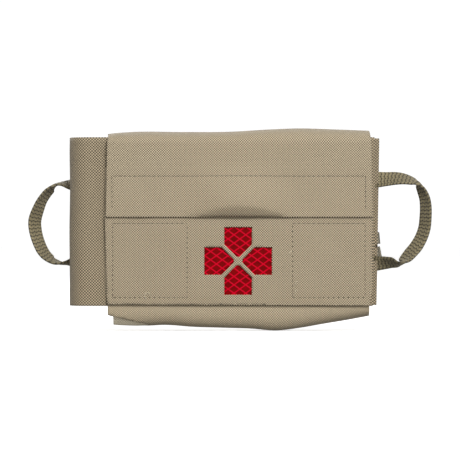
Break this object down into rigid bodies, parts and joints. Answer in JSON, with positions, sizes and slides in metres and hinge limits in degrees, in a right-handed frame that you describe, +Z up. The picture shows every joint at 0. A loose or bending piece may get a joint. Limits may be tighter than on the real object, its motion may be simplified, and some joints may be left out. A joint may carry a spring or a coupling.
{
  "type": "belt-mounted tourniquet kit",
  "caption": "Belt-mounted tourniquet kit: a flapped fabric sleeve with a cross-shaped reflective window, and a pull-out insert that holds a windlass tourniquet and gauze.",
  "frame": {"origin": "middle of the back panel's outer face, where the kit sits against the belt", "axes": "+X to the right as seen from the front, -Y out of the front, +Z up as worn"},
  "size_m": [0.2923, 0.0515, 0.1424],
  "materials": {
    "laminate": "coated plain-weave nylon, matt",
    "webbing": "ribbed nylon webbing",
    "hook_tape": "hook tape",
    "loop_tape": "brushed loop tape",
    "reflective": "retroreflective sheeting with a diamond lattice",
    "snap_metal": "black oxide",
    "foam": "closed-cell foam",
    "stretch_fabric": "stretch knit",
    "elastic": "woven elastic",
    "band_fabric": "woven band with hook and loop",
    "band_tip": "woven, dyed",
    "moulded_plastic": "moulded, fine texture",
    "time_strap": "plain woven tape with no marking",
    "wrapper": "vacuum-packed film"
  },
  "bodies": {
    "sleeve": {"back_panel": "laminate", "bottom_fold": "laminate", "bottom_liner": "laminate", "front_wall": "laminate", "front_panel": "laminate", "reflective_sheet": "reflective", "panel_hook_patches": "hook_tape", "front_loop_tape": "loop_tape", "strap_anchors": "webbing", "snap_studs": "snap_metal"},
    "flap_upper": {"flap_top": "laminate"},
    "flap_lower": {"flap_front": "laminate", "flap_hook_tape": "hook_tape"},
    "belt_strap_left": {"strap_left": "webbing", "snap_socket_left": "snap_metal"},
    "belt_strap_right": {"strap_right": "webbing", "snap_socket_right": "snap_metal"},
    "insert": {"insert_rear_cover": "laminate", "insert_fold": "laminate", "insert_front_cover": "laminate", "foam_pad": "foam", "stretch_panel": "stretch_fabric", "elastic_upper_left": "elastic", "elastic_upper_right": "elastic", "elastic_lower_left": "elastic", "elastic_lower_right": "elastic", "elastic_tail": "elastic", "pull_seam_left": "webbing", "pull_seam_right": "webbing"},
    "pull_left": {"pull_loop_left": "webbing"},
    "pull_right": {"pull_loop_right": "webbing"},
    "tourniquet": {"tourniquet_band": "band_fabric", "tourniquet_tip": "band_tip", "tourniquet_buckle": "moulded_plastic", "tourniquet_plate": "moulded_plastic", "tourniquet_inner_tape": "band_fabric", "tourniquet_windlass": "moulded_plastic", "tourniquet_clip": "moulded_plastic", "tourniquet_time_strap": "time_strap"},
    "gauze": {"gauze_pack": "wrapper", "gauze_seal": "wrapper"}
  },
  "joints": [
    {"name": "flap_lift", "type": "hinge", "parent": "sleeve", "child": "flap_upper", "pos_m": [0, -0.0006, 0.0622], "axis": [-1, 0, 0], "range_deg": [0, 150]},
    {"name": "flap_bend", "type": "hinge", "parent": "flap_upper", "child": "flap_lower", "pos_m": [0, -0.0438, 0.056], "axis": [-1, 0, 0], "range_deg": [0, 85]},
    {"name": "insert_slide", "type": "slide", "parent": "sleeve", "child": "insert", "axis": [1, 0, 0], "range_m": [-0.255, 0.255]},
    {"name": "tourniquet_draw", "type": "slide", "parent": "insert", "child": "tourniquet", "axis": [1, 0, 0], "range_m": [0, 0.215]},
    {"name": "gauze_draw", "type": "slide", "parent": "insert", "child": "gauze", "axis": [1, 0, 0], "range_m": [0, 0.2]},
    {"name": "strap_left_open", "type": "hinge", "parent": "sleeve", "child": "belt_strap_left", "pos_m": [-0.05715, 0.0063, 0.052], "axis": [1, 0, 0], "range_deg": [0, 90]},
    {"name": "strap_right_open", "type": "hinge", "parent": "sleeve", "child": "belt_strap_right", "pos_m": [0.05715, 0.0063, 0.052], "axis": [1, 0, 0], "range_deg": [0, 90]},
    {"name": "pull_left_swing", "type": "hinge", "parent": "insert", "child": "pull_left", "pos_m": [-0.126, -0.00225, 0], "axis": [0, 0, 1], "range_deg": [-85, 60], "stiffness_Nm_per_rad": 0.004},
    {"name": "pull_right_swing", "type": "hinge", "parent": "insert", "child": "pull_right", "pos_m": [0.105, -0.00225, 0], "axis": [0, 0, 1], "range_deg": [-75, 85], "stiffness_Nm_per_rad": 0.004}
  ]
}
